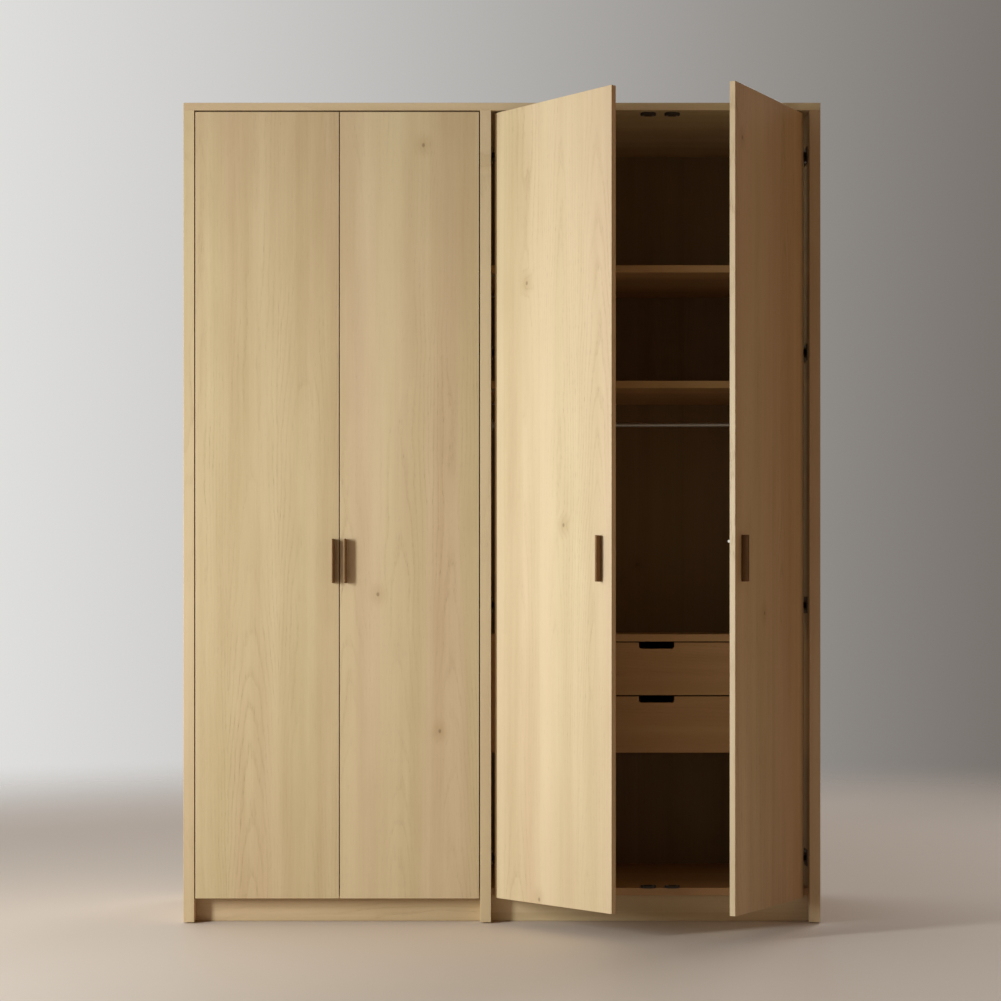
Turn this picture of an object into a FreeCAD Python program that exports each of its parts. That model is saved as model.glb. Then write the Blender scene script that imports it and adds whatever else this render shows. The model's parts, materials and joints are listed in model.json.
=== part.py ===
"""Four-leaf wardrobe in two bays, standing on the floor with its back to a wall.

Frame: +Z up, -Y towards the user, origin on the floor in the middle of the footprint that the
wardrobe covers with the right-hand pair of leaves standing open. Millimetres.
"""
import FreeCAD, Part
import os
import re
import Sketcher
from FreeCAD import Placement, Rotation, Vector

doc = FreeCAD.newDocument("wardrobe")

# ---------------------------------------------------------------- driving dimensions

SIZES = [
    # the carcass
    ("carcass_width", 1700), ("carcass_height", 2190), ("carcass_depth", 600),
    ("front_y", -132), ("panel", 29), ("bay_left", 763), ("top_thick", 20),
    ("glide_thick", 3), ("glide_dia", 22), ("glide_inset", 60), ("edge_round", 0.8),
    ("plinth_setback", 40), ("plinth_thick", 18), ("plinth_lift", 1),
    ("floor_top", 91), ("floor_thick", 20), ("floor_setback", 30),
    ("back_thick", 8), ("back_front", 580), ("groove_deep", 8), ("groove_play", 0.2),
    # shelves, rails and their supports
    ("fit_out_setback", 110), ("shelf_thick", 19.5), ("shelf_play", 0.5),
    ("shelf_upper_z", 1755), ("shelf_lower_z", 1440.5), ("shelf_left_z", 1755),
    ("pin_dia", 5), ("pin_long", 9), ("pin_front", 150), ("pin_rear", 530),
    ("rail_dia", 13), ("rail_y", 290), ("rail_right_z", 1356), ("rail_left_z", 1690),
    ("flange_dia", 34), ("flange_thick", 3), ("collar_dia", 19), ("collar_long", 12),
    ("collar_play", 0.1),
    # wall brackets at the top of each bay
    ("bracket_wide", 44), ("bracket_leg", 34), ("bracket_thick", 2.5), ("bracket_inset", 150),
    ("screw_hole", 6), ("screw_drop", 20),
    # drawer unit in the right bay
    ("filler_left", 108), ("filler_right", 58), ("filler_thick", 18),
    ("unit_top_z", 751), ("unit_base_z", 448.5), ("unit_board", 16), ("unit_lift", 2),
    # drawers
    ("front_thick", 18), ("front_play", 2), ("upper_front_z", 605),
    ("upper_front_tall", 143), ("lower_front_tall", 153), ("slot_wide", 96),
    ("slot_deep", 17), ("slot_round", 7), ("box_board", 13), ("box_deep", 430),
    ("box_tall", 92), ("box_lift", 30), ("runner_space", 13), ("base_thick", 6),
    ("base_lift", 8), ("runner_lift", 40),
    # leaves and what is fixed to them
    ("leaf_thick", 16), ("leaf_side_gap", 3), ("leaf_meeting_gap", 2.5),
    ("meeting_shift", 6), ("leaf_foot", 66.5), ("leaf_head_gap", 4.5), ("axis_inset", 22.5),
    ("pull_tall", 118), ("pull_proud", 20), ("pull_thick", 6), ("pull_round", 1.5),
    ("pull_z", 967), ("pull_inset_left_bay", 12), ("pull_inset_right_bay", 34),
    ("cup_dia", 35), ("cup_deep", 12), ("cup_play", 0.2), ("cup_wall", 1.2),
    ("wing_wide", 17.5), ("wing_tall", 56), ("plate_thick", 1.2),
    ("link_reach", 28.2), ("link_wide", 6), ("link_tall", 12),
    ("arm_tall", 14), ("base_plate_tall", 44), ("base_plate_thick", 2),
    ("strike_wide", 24), ("strike_tall", 14), ("strike_edge", 1),
    ("catch_wide", 42), ("catch_deep", 30), ("catch_thick", 6), ("catch_front", 18),
    ("catch_round", 14.5),
    ("buffer_dia", 8), ("buffer_proud", 6), ("buffer_z", 1009), ("buffer_inset", 6),
    # opening angles of the two leaves that stand open, in degrees
    ("open_left_leaf", 46), ("open_right_leaf", 57.7),
]

HINGE_HEIGHTS = (170, 850, 1530, 2060)
# points closer than this are the same point
SAME_PLACE = 1e-6

sheet = doc.addObject("Spreadsheet::Sheet", "sizes")
for row, (alias, size) in enumerate(SIZES, start=1):
    sheet.set(f"A{row}", alias)
    sheet.set(f"B{row}", str(size))
    sheet.setAlias(f"B{row}", alias)
doc.recompute()

ALIASES = {alias for alias, _ in SIZES}


def bound(formula):
    """The formula with every alias in it pointing at the sheet."""
    return re.sub(
        r"[a-z_]+", lambda word: f"sizes.{word[0]}" if word[0] in ALIASES else word[0],
        str(formula),
    )


def value(formula):
    """The number that a formula of aliases comes to, in millimetres or degrees."""
    return float(sheet.evalExpression(bound(formula)))


# ---------------------------------------------------------------- lines of the frame

LEFT = "(-carcass_width / 2)"
RIGHT = "(carcass_width / 2)"
LEFT_BAY = f"({LEFT} + panel)"
LEFT_BAY_END = f"({LEFT_BAY} + bay_left)"
RIGHT_BAY = f"({LEFT_BAY_END} + panel)"
RIGHT_BAY_END = f"({RIGHT} - panel)"
BAY_RIGHT = f"({RIGHT_BAY_END} - {RIGHT_BAY})"
BACK_FACE = "(front_y + back_front)"
FIT_OUT_Y = "(front_y + fit_out_setback)"
TOP_UNDER = "(carcass_height - top_thick)"
FLOOR_UNDER = "(floor_top - floor_thick)"
BAYS = {
    "left_bay": (LEFT_BAY, LEFT_BAY_END),
    "right_bay": (RIGHT_BAY, RIGHT_BAY_END),
}

nodes = []


def node(thing, label):
    """Marks an object as one of the wardrobe's sub-parts."""
    thing.Label = label
    nodes.append(thing)
    return thing


# ---------------------------------------------------------------- building blocks


def place(thing, x, y, z):
    """Puts an object at a place that stays bound to the sheet."""
    for axis, formula in zip("xyz", (x, y, z)):
        thing.setExpression(f"Placement.Base.{axis}", bound(formula))
    return thing


def sketch_on(body, role):
    """A new sketch on one of the body's own origin planes."""
    sketch = body.newObject("Sketcher::SketchObject", "Sketch")
    plane = next(f for f in body.Origin.OriginFeatures if f.Role == role)
    sketch.AttachmentSupport = (plane, [""])
    sketch.MapMode = "FlatFace"
    return sketch


def dimension(sketch, kind, *ends, formula):
    """One sketch dimension, bound to the sheet."""
    index = sketch.addConstraint(Sketcher.Constraint(kind, *ends, value(formula)))
    sketch.setExpression(f"Constraints[{index}]", bound(formula))


def outline(sketch, corners):
    """A closed outline of straight lines, each corner dimensioned from the origin."""
    points = [Vector(value(across), value(up), 0) for across, up in corners]
    lines = [
        sketch.addGeometry(Part.LineSegment(start, end), False)
        for start, end in zip(points, points[1:] + points[:1])
    ]
    for line, after in zip(lines, lines[1:] + lines[:1]):
        sketch.addConstraint(Sketcher.Constraint("Coincident", line, 2, after, 1))
    for line, (across, up) in zip(lines, corners):
        dimension(sketch, "DistanceX", -1, 1, line, 1, formula=across)
        dimension(sketch, "DistanceY", -1, 1, line, 1, formula=up)


def rectangle(width, height):
    """Corners of a rectangle that starts at the sketch's origin."""
    return [("0", "0"), (width, "0"), (width, height), ("0", height)]


def circle(sketch, across, up, diameter):
    """A dimensioned circle."""
    centre = Vector(value(across), value(up), 0)
    ring = sketch.addGeometry(
        Part.Circle(centre, Vector(0, 0, 1), value(diameter) / 2), False
    )
    dimension(sketch, "DistanceX", -1, 1, ring, 3, formula=across)
    dimension(sketch, "DistanceY", -1, 1, ring, 3, formula=up)
    dimension(sketch, "Diameter", ring, formula=diameter)


def pad(body, sketch, length, midplane=False):
    feature = body.newObject("PartDesign::Pad", "Pad")
    feature.Profile = sketch
    feature.setExpression("Length", bound(length))
    feature.Midplane = midplane
    return feature


def pocket(body, sketch, depth):
    """Cuts towards the sketch plane's normal and checks that material went."""
    doc.recompute()
    before = body.Shape.Volume
    feature = body.newObject("PartDesign::Pocket", "Pocket")
    feature.Profile = sketch
    feature.setExpression("Length", bound(depth))
    feature.Reversed = True
    doc.recompute()
    if body.Shape.Volume >= before:
        raise ValueError(f"{body.Name}: the pocket cut nothing")
    return feature


def soften(body, radius="edge_round", edges=None):
    """Rounds the named edges, or else every edge, of what the body holds so far."""
    base = body.Tip
    feature = body.newObject("PartDesign::Fillet", "Fillet")
    feature.Base = (base, edges or [""])
    feature.UseAllEdges = not edges
    feature.setExpression("Radius", bound(radius))
    return feature


def edges_where(body, wanted, *facts):
    """The names of the body's edges for which wanted(edge, *facts) is true."""
    doc.recompute()
    return [
        f"Edge{i}" for i, edge in enumerate(body.Shape.Edges, start=1) if wanted(edge, *facts)
    ]


def is_upright(edge):
    """True for an edge that runs straight up."""
    low, high = edge.Vertexes[0].Point, edge.Vertexes[-1].Point
    return abs(low.x - high.x) < SAME_PLACE and abs(low.y - high.y) < SAME_PLACE


def prism(role, corners, length, midplane=False):
    """A body padded from one outline: XY_Plane pads up, XZ_Plane to -Y, YZ_Plane to +X."""
    body = doc.addObject("PartDesign::Body", "Body")
    sketch = sketch_on(body, role)
    outline(sketch, corners)
    pad(body, sketch, length, midplane)
    return body


def board(label, size, at, rounded=True):
    """A plain board: size is (width, depth, height), at is its lowest corner."""
    width, depth, height = size
    body = prism("XY_Plane", rectangle(width, depth), height)
    if rounded:
        soften(body)
    place(body, *at)
    return node(body, label)


def primitive(kind, at=("0", "0", "0"), turn=None, **sizes):
    """A Part primitive with its sizes bound to the sheet."""
    thing = doc.addObject(f"Part::{kind}", kind)
    for name, formula in sizes.items():
        thing.setExpression(name, bound(formula))
    if turn:
        thing.Placement.Rotation = turn
    return place(thing, *at)


def joined(kind, first, second):
    """Part::Cut or Part::Fuse of two objects."""
    result = doc.addObject(f"Part::{kind}", kind)
    result.Base = first
    result.Tool = second
    return result


def group(label, pieces):
    """One node of several separate, alike pieces."""
    compound = doc.addObject("Part::Compound", "Compound")
    compound.Links = pieces
    return node(compound, label)


def copy_at(master, placement):
    link = doc.addObject("App::Link", "Link")
    link.LinkedObject = master
    link.LinkPlacement = placement
    return link


ALONG_X = Rotation(Vector(0, 1, 0), 90)
ALONG_Y = Rotation(Vector(1, 0, 0), -90)

# ---------------------------------------------------------------- carcass


def build_carcass():
    groove_front = "back_front - groove_play"
    groove_rear = "back_front + back_thick + groove_play"
    side_height = f"{TOP_UNDER} - glide_thick"
    for label, inner, outer, x in (
        ("side_left", "panel", "0", LEFT),
        ("side_right", "0", "panel", RIGHT_BAY_END),
    ):
        groove = "panel - groove_deep" if inner == "panel" else "groove_deep"
        corners = [
            (outer, "0"), (inner, "0"), (inner, groove_front), (groove, groove_front),
            (groove, groove_rear), (inner, groove_rear), (inner, "carcass_depth"),
            (outer, "carcass_depth"),
        ]
        side = prism("XY_Plane", corners, side_height)
        soften(side)
        place(side, x, "front_y", "glide_thick")
        node(side, label)
    board(
        "divider", ("panel", "back_front", side_height),
        (LEFT_BAY_END, "front_y", "glide_thick"),
    )
    section = [
        ("0", "0"), (groove_front, "0"), (groove_front, "groove_deep"),
        (groove_rear, "groove_deep"), (groove_rear, "0"), ("carcass_depth", "0"),
        ("carcass_depth", "top_thick"), ("0", "top_thick"),
    ]
    top = prism("YZ_Plane", section, "carcass_width")
    soften(top)
    place(top, LEFT, "front_y", TOP_UNDER)
    node(top, "top_board")
    for bay, (start, end) in BAYS.items():
        width = f"{end} - {start}"
        board(
            f"{bay}_floor", (width, "back_front - floor_setback", "floor_thick"),
            (start, "front_y + floor_setback", FLOOR_UNDER),
        )
        board(
            f"{bay}_plinth", (width, "plinth_thick", f"{FLOOR_UNDER} - plinth_lift"),
            (start, "front_y + plinth_setback", "plinth_lift"),
        )


def build_backs():
    """A thin back for each bay, grooved into its side and the top, both meeting at the divider."""
    tongue = "(groove_deep - 2 * groove_play)"
    middle = f"({LEFT_BAY_END} + panel / 2)"
    height = f"{TOP_UNDER} + {tongue} - {FLOOR_UNDER}"
    for bay, start, end in (
        ("left_bay", f"({LEFT_BAY} - {tongue})", f"({middle} - groove_play)"),
        ("right_bay", f"({middle} + groove_play)", f"({RIGHT_BAY_END} + {tongue})"),
    ):
        # the sheet lies in front of its body's XZ plane, so the body stands at its rear face
        sheet_of_board = prism("XZ_Plane", rectangle(f"{end} - {start}", height), "back_thick")
        hole = sketch_on(sheet_of_board, "XZ_Plane")
        circle(
            hole, f"{BAYS[bay][0]} + bracket_inset - {start}",
            f"{TOP_UNDER} - screw_drop - {FLOOR_UNDER}", "screw_hole",
        )
        pocket(sheet_of_board, hole, "back_thick")
        place(sheet_of_board, start, f"{BACK_FACE} + back_thick", FLOOR_UNDER)
        node(sheet_of_board, f"{bay}_back")


def build_wall_brackets():
    """An angle bracket under the top of each bay takes the screw that stops it tipping."""
    section = [
        ("0", "0"), ("0", "-bracket_leg"), ("-bracket_thick", "-bracket_leg"),
        ("-bracket_thick", "-bracket_thick"), ("-bracket_leg", "-bracket_thick"),
        ("-bracket_leg", "0"),
    ]
    brackets = []
    for start, _ in BAYS.values():
        bracket = prism("YZ_Plane", section, "bracket_wide")
        hole = sketch_on(bracket, "XZ_Plane")
        circle(hole, "bracket_wide / 2", "-screw_drop", "screw_hole")
        pocket(bracket, hole, "bracket_thick")
        place(bracket, f"{start} + bracket_inset - bracket_wide / 2", BACK_FACE, TOP_UNDER)
        brackets.append(bracket)
    group("wall_brackets", brackets)


def build_glides():
    front = "front_y + glide_inset"
    rear = "front_y + back_front - glide_inset"
    glides = [
        primitive(
            "Cylinder", (f"{x} + panel / 2", y, "0"),
            Radius="glide_dia / 2", Height="glide_thick",
        )
        for x in (LEFT, LEFT_BAY_END, RIGHT_BAY_END)
        for y in (front, rear)
    ]
    group("floor_glides", glides)


# ---------------------------------------------------------------- shelves and rails

SHELVES = {
    "right_bay_upper_shelf": ("right_bay", "shelf_upper_z"),
    "right_bay_lower_shelf": ("right_bay", "shelf_lower_z"),
    "left_bay_shelf": ("left_bay", "shelf_left_z"),
}
SHELF_DEPTH = "(back_front - fit_out_setback - shelf_play)"


def build_shelves():
    pins = []
    for label, (bay, z) in SHELVES.items():
        start, end = BAYS[bay]
        board(
            label, (f"{end} - {start} - 2 * shelf_play", SHELF_DEPTH, "shelf_thick"),
            (f"{start} + shelf_play", FIT_OUT_Y, z),
        )
        for x in (start, f"{end} - pin_long"):
            for y in ("pin_front", "pin_rear"):
                pins.append(primitive(
                    "Cylinder", (x, f"front_y + {y}", f"{z} - pin_dia / 2"), ALONG_X,
                    Radius="pin_dia / 2", Height="pin_long",
                ))
    group("shelf_pins", pins)


def rail_bracket(wall, y, z, inward):
    """A flange on the wall with a collar that the rail's end sits in."""
    flange_x = wall if inward > 0 else f"{wall} - flange_thick"
    collar_x = wall if inward > 0 else f"{wall} - collar_long"
    flange = primitive(
        "Cylinder", (flange_x, y, z), ALONG_X, Radius="flange_dia / 2", Height="flange_thick"
    )
    collar = primitive(
        "Cylinder", (collar_x, y, z), ALONG_X, Radius="collar_dia / 2", Height="collar_long"
    )
    socket_x = f"{wall} + flange_thick" if inward > 0 else collar_x
    socket = primitive(
        "Cylinder", (socket_x, y, z), ALONG_X,
        Radius="rail_dia / 2 + collar_play", Height="collar_long - flange_thick",
    )
    return joined("Cut", joined("Fuse", flange, collar), socket)


def build_rails():
    brackets = []
    y = "front_y + rail_y"
    for bay, z in (("left_bay", "rail_left_z"), ("right_bay", "rail_right_z")):
        start, end = BAYS[bay]
        rail = primitive(
            "Cylinder", (f"{start} + flange_thick", y, z), ALONG_X,
            Radius="rail_dia / 2", Height=f"{end} - {start} - 2 * flange_thick",
        )
        node(rail, f"{bay}_rail")
        brackets += [rail_bracket(start, y, z, 1), rail_bracket(end, y, z, -1)]
    group("rail_brackets", brackets)


# ---------------------------------------------------------------- drawers

UNIT_START = f"({RIGHT_BAY} + filler_left)"
UNIT_END = f"({RIGHT_BAY_END} - filler_right)"
BEHIND_FRONTS = f"({FIT_OUT_Y} + front_thick + unit_lift)"
UNIT_DEPTH = f"({BACK_FACE} - shelf_play - {BEHIND_FRONTS})"
UNIT_FLOOR = "(unit_base_z + unit_lift)"
CHEEK_FOOT = f"({UNIT_FLOOR} + unit_board)"
DRAWERS = {
    "upper_drawer": ("upper_front_z", "upper_front_tall"),
    "lower_drawer": ("unit_base_z", "lower_front_tall"),
}


def build_drawer_unit():
    full_width = f"{BAY_RIGHT} - 2 * shelf_play"
    left_edge = f"{RIGHT_BAY} + shelf_play"
    board(
        "drawer_unit_top", (full_width, SHELF_DEPTH, "shelf_thick"),
        (left_edge, FIT_OUT_Y, "unit_top_z"),
    )
    board(
        "drawer_unit_base", (full_width, UNIT_DEPTH, "unit_board"),
        (left_edge, BEHIND_FRONTS, UNIT_FLOOR),
    )
    cheek_tall = f"unit_top_z - {CHEEK_FOOT}"
    for hand, x in (("left", f"{UNIT_START} - unit_board"), ("right", UNIT_END)):
        board(
            f"drawer_unit_{hand}_cheek", ("unit_board", UNIT_DEPTH, cheek_tall),
            (x, BEHIND_FRONTS, CHEEK_FOOT),
        )
    filler_y = f"{BEHIND_FRONTS} - filler_thick"
    for hand, x, width in (
        ("left", left_edge, "filler_left - shelf_play"),
        ("right", UNIT_END, "filler_right - shelf_play"),
    ):
        board(
            f"drawer_unit_{hand}_filler",
            (width, "filler_thick", "unit_top_z - unit_base_z"), (x, filler_y, "unit_base_z"),
        )


def drawer_front(label, z, tall):
    """A front with a finger slot cut down from the middle of its top edge."""
    width = f"({UNIT_END} - {UNIT_START} - 2 * front_play)"
    slot_start = f"({width} - slot_wide) / 2"
    slot_end = f"({width} + slot_wide) / 2"
    slot_foot = f"{tall} - slot_deep"
    corners = [
        ("0", "0"), (width, "0"), (width, tall), (slot_end, tall), (slot_end, slot_foot),
        (slot_start, slot_foot), (slot_start, tall), ("0", tall),
    ]
    # the front lies before its body's XZ plane, so the body stands at its rear face
    front = prism("XZ_Plane", corners, "front_thick")
    soften(front, "slot_round", edges_where(front, is_slot_corner, value(slot_foot)))
    soften(front)
    place(front, f"{UNIT_START} + front_play", f"{FIT_OUT_Y} + front_thick", z)
    node(front, label)


def is_slot_corner(edge, foot):
    """True for the two edges through the board at the foot of its finger slot."""
    ends = [vertex.Point for vertex in edge.Vertexes]
    level = all(abs(end.z - foot) < SAME_PLACE for end in ends)
    return level and abs(ends[0].x - ends[-1].x) < SAME_PLACE


def build_drawer(name, z, tall):
    drawer_front(f"{name}_front", z, tall)
    box_start = f"({UNIT_START} + runner_space)"
    box_end = f"({UNIT_END} - runner_space)"
    box_y = f"({FIT_OUT_Y} + front_thick)"
    box_z = f"({z} + box_lift)"
    side = ("box_board", "box_deep", "box_tall")
    board(f"{name}_left_side", side, (box_start, box_y, box_z))
    board(f"{name}_right_side", side, (f"{box_end} - box_board", box_y, box_z))
    inside = f"({box_end} - {box_start} - 2 * box_board)"
    inside_x = f"{box_start} + box_board"
    board(
        f"{name}_back", (inside, "box_board", "box_tall - base_lift - base_thick"),
        (inside_x, f"{box_y} + box_deep - box_board", f"{box_z} + base_lift + base_thick"),
    )
    board(
        f"{name}_base", (inside, "box_deep", "base_thick"),
        (inside_x, box_y, f"{box_z} + base_lift"), rounded=False,
    )
    runner_z = f"{box_z} + runner_lift"
    members = [
        runner(DRAWER_MEMBER, hand, x, box_y, runner_z)
        for hand, x in ((1, UNIT_START), (-1, UNIT_END))
    ]
    group(f"{name}_runners", members)
    return [
        runner(CABINET_MEMBER, hand, x, BEHIND_FRONTS, runner_z)
        for hand, x in ((1, UNIT_START), (-1, UNIT_END))
    ]


# half-sections of the runner's two members, as (distance from the cheek, height above its middle)
CABINET_MEMBER = [
    (0, 17), (10, 17), (10, 12.5), (8.8, 12.5), (8.8, 15.8), (1.2, 15.8),
]
DRAWER_MEMBER = [
    (13, 11.5), (11, 11.5), (11, 1.5), (5, 1.5), (5, 13), (3, 13),
]


def runner(half, hand, x, y, z):
    """One member of a side-mounted runner; hand is 1 on the left cheek and -1 on the right."""
    corners = half + [(across, -up) for across, up in reversed(half)]
    member = prism(
        "XZ_Plane", [(str(hand * across), str(up)) for across, up in corners],
        "box_deep - box_board",
    )
    # the member lies before its body's XZ plane, so the body stands at its rear end
    return place(member, x, f"{y} + box_deep - box_board", z)


def build_drawers():
    cabinet_members = []
    for name, (z, tall) in DRAWERS.items():
        cabinet_members += build_drawer(name, z, tall)
    group("drawer_unit_runners", cabinet_members)


# ---------------------------------------------------------------- leaves

LEAF_TALL = f"({TOP_UNDER} - leaf_head_gap - leaf_foot)"


class Leaf:
    """A leaf in its closed place; hand is 1 when it is hinged on its left, -1 on its right."""

    def __init__(self, bay, hand, opening):
        start, end = BAYS[bay]
        self.bay = bay
        self.hand = hand
        self.name = f"{bay}_{'left' if hand > 0 else 'right'}"
        half = f"({end} - {start} - 2 * leaf_side_gap - leaf_meeting_gap) / 2"
        self.width = f"({half} + {hand} * meeting_shift)"
        edge = f"({start} + leaf_side_gap)" if hand > 0 else f"({end} - leaf_side_gap)"
        self.hinge_edge = edge
        self.wall = start if hand > 0 else end
        self.axis_x = value(f"{edge} + {hand} * axis_inset")
        self.axis_y = value("front_y")
        self.turn = Rotation(Vector(0, 0, 1), -hand * value(opening))

    def swung(self, x, y, z):
        """The placement at the leaf's opening angle of what is at x, y, z when it is closed."""
        axis = Vector(self.axis_x, self.axis_y, 0)
        here = Vector(value(x), value(y), value(z))
        return Placement(axis + self.turn.multVec(here - axis), self.turn)

    def from_edge(self, distance):
        """X at a distance from the hinge edge towards the free edge, with the leaf closed."""
        return f"{self.hinge_edge} + {self.hand} * ({distance})"

    def lower_x(self, near, far):
        """The lower X of a stretch between two distances from the hinge edge."""
        return self.from_edge(near if self.hand > 0 else far)


LEAVES = [
    Leaf("left_bay", 1, "0"),
    Leaf("left_bay", -1, "0"),
    Leaf("right_bay", 1, "open_left_leaf"),
    Leaf("right_bay", -1, "open_right_leaf"),
]


def build_leaf_panel(leaf):
    """A flat leaf with its hinge cups' recesses in the rear face, on its body's XZ plane."""
    body = prism("XZ_Plane", rectangle(leaf.width, LEAF_TALL), "leaf_thick")
    soften(body)
    across = "axis_inset" if leaf.hand > 0 else f"{leaf.width} - axis_inset"
    recesses = sketch_on(body, "XZ_Plane")
    for height in HINGE_HEIGHTS:
        circle(recesses, across, f"{height} - leaf_foot", "cup_dia")
    pocket(body, recesses, "cup_deep")
    body.Placement = leaf.swung(
        leaf.lower_x("0", leaf.width), "front_y + leaf_thick", "leaf_foot"
    )
    node(body, f"{leaf.name}_leaf")


def build_pull(leaf):
    """A slim upright blade near the leaf's free edge."""
    inset = f"pull_inset_{leaf.bay}"
    blade = prism("XY_Plane", rectangle("pull_thick", "pull_proud"), "pull_tall")
    soften(blade, "pull_round")
    near = f"{leaf.width} - {inset} - pull_thick"
    far = f"{leaf.width} - {inset}"
    blade.Placement = leaf.swung(
        leaf.lower_x(near, far), "front_y - pull_proud", "pull_z - pull_tall / 2"
    )
    node(blade, f"{leaf.name}_pull")


def cup_master():
    """A cup with its screw wings and link, drawn about the hinge axis at its own height."""
    rear = "leaf_thick"
    floor_y = "leaf_thick - cup_deep + cup_play"
    shell = primitive(
        "Cylinder", ("0", floor_y, "0"), ALONG_Y,
        Radius="cup_dia / 2 - cup_play", Height="cup_deep - cup_play + plate_thick",
    )
    wings = primitive(
        "Box", ("-wing_wide / 2", rear, "-wing_tall / 2"),
        Length="wing_wide", Width="plate_thick", Height="wing_tall",
    )
    hollow = primitive(
        "Cylinder", ("0", f"{floor_y} + cup_wall", "0"), ALONG_Y,
        Radius="cup_dia / 2 - cup_play - cup_wall", Height="cup_deep + plate_thick",
    )
    link_root = f"({floor_y} + cup_wall / 2)"
    link = primitive(
        "Box", ("-link_wide / 2", link_root, "-link_tall / 2"),
        Length="link_wide", Width=f"link_reach - {link_root}", Height="link_tall",
    )
    dish = joined("Cut", joined("Fuse", shell, wings), hollow)
    return joined("Fuse", dish, link)


# plan of the cranked arm about the hinge axis: across towards the free edge, then to the rear
ARM_PLAN = [
    (-23.5, 86), (-23.5, 46), (-8, 35), (21.5, 32), (21.5, 21.5), (28, 21.5), (28, 39),
    (-6, 42), (-14, 50), (-14, 86),
]
BASE_PLATE_Y = (38, 92)


def arm_master(hand):
    """The arm and its base plate, which stay on the side or divider."""
    wall = "(axis_inset + leaf_side_gap)"
    corners = [(str(hand * across), str(rear)) for across, rear in ARM_PLAN]
    arm = prism("XY_Plane", corners, "arm_tall", midplane=True)
    near, far = BASE_PLATE_Y
    plate_x = f"-{wall}" if hand > 0 else f"{wall} - base_plate_thick"
    plate = primitive(
        "Box", (plate_x, str(near), "-base_plate_tall / 2"),
        Length="base_plate_thick", Width=str(far - near), Height="base_plate_tall",
    )
    return joined("Fuse", arm, plate)


def build_hinges(leaf, cup, arm):
    axis_x = str(leaf.axis_x)
    cups = [
        copy_at(cup, leaf.swung(axis_x, "front_y", height)) for height in HINGE_HEIGHTS
    ]
    group(f"{leaf.name}_hinge_cups", cups)
    arms = [
        copy_at(arm, Placement(Vector(leaf.axis_x, leaf.axis_y, height), Rotation()))
        for height in HINGE_HEIGHTS
    ]
    group(f"{leaf.name}_hinge_arms", arms)


# how far right of the bay's middle the catches sit, and the plates that they hold: for the
# leaf that is hinged on its left, then for the one hinged on its right
CATCH_OFFSETS = {1: -3, -1: 61}
STRIKE_OFFSETS = {1: -10, -1: 61}


def middle_of(bay):
    start, end = BAYS[bay]
    return f"(({start} + {end}) / 2)"


def build_strikes(leaf):
    """A thin steel plate at the top and bottom of the leaf's rear face."""
    x = f"{middle_of(leaf.bay)} + {STRIKE_OFFSETS[leaf.hand]} - strike_wide / 2"
    head = f"leaf_foot + {LEAF_TALL} - strike_edge - strike_tall"
    foot = "floor_top - strike_edge"
    plates = []
    for z in (foot, head):
        plate = primitive("Box", Length="strike_wide", Width="plate_thick", Height="strike_tall")
        plates.append(copy_at(plate, leaf.swung(x, "front_y + leaf_thick", z)))
    group(f"{leaf.name}_strike_plates", plates)


def build_catches():
    """Flat magnetic catches with rounded ends, on the floor and under the top of each bay."""
    catches = []
    for bay in BAYS:
        for offset in CATCH_OFFSETS.values():
            for z in ("floor_top", f"{TOP_UNDER} - catch_thick"):
                catch = prism("XY_Plane", rectangle("catch_wide", "catch_deep"), "catch_thick")
                soften(catch, "catch_round", edges_where(catch, is_upright))
                soften(catch)
                place(
                    catch, f"{middle_of(bay)} + {offset} - catch_wide / 2",
                    "front_y + catch_front", z,
                )
                catches.append(catch)
    group("magnetic_catches", catches)


def build_buffer(leaf):
    """A small round buffer on the rear face, close to the free edge."""
    disc = primitive("Cylinder", Radius="buffer_dia / 2", Height="buffer_proud")
    centre = leaf.from_edge(f"{leaf.width} - buffer_inset")
    swung = leaf.swung(centre, "front_y + leaf_thick", "buffer_z")
    thing = copy_at(disc, swung.multiply(Placement(Vector(), ALONG_Y)))
    group(f"{leaf.name}_buffer", [thing])


def build_leaves():
    cup = cup_master()
    arms = {hand: arm_master(hand) for hand in (1, -1)}
    for leaf in LEAVES:
        build_leaf_panel(leaf)
        build_pull(leaf)
        build_hinges(leaf, cup, arms[leaf.hand])
        build_strikes(leaf)
    build_catches()
    build_buffer(LEAVES[-1])


# ---------------------------------------------------------------- build, check and write

build_carcass()
build_backs()
build_wall_brackets()
build_glides()
build_shelves()
build_rails()
build_drawer_unit()
build_drawers()
build_leaves()
doc.recompute()

for thing in doc.Objects:
    if {"Invalid", "Error"} & set(thing.State):
        raise ValueError(f"{thing.Label} failed: {thing.State}")
for thing in nodes:
    if thing.Shape.isNull() or not thing.Shape.isValid():
        raise ValueError(f"{thing.Label} has no valid shape")

os.makedirs("parts", exist_ok=True)
for thing in nodes:
    thing.Shape.exportStep(os.path.join("parts", f"{thing.Label}.step"))
print(len(nodes), "sub-parts written")
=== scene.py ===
"""The wardrobe's looks: oak figure, metal finishes, screws and fittings, light and camera."""

import json
import math

import bmesh
import bpy
from mathutils import Euler, Matrix, Vector

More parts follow.
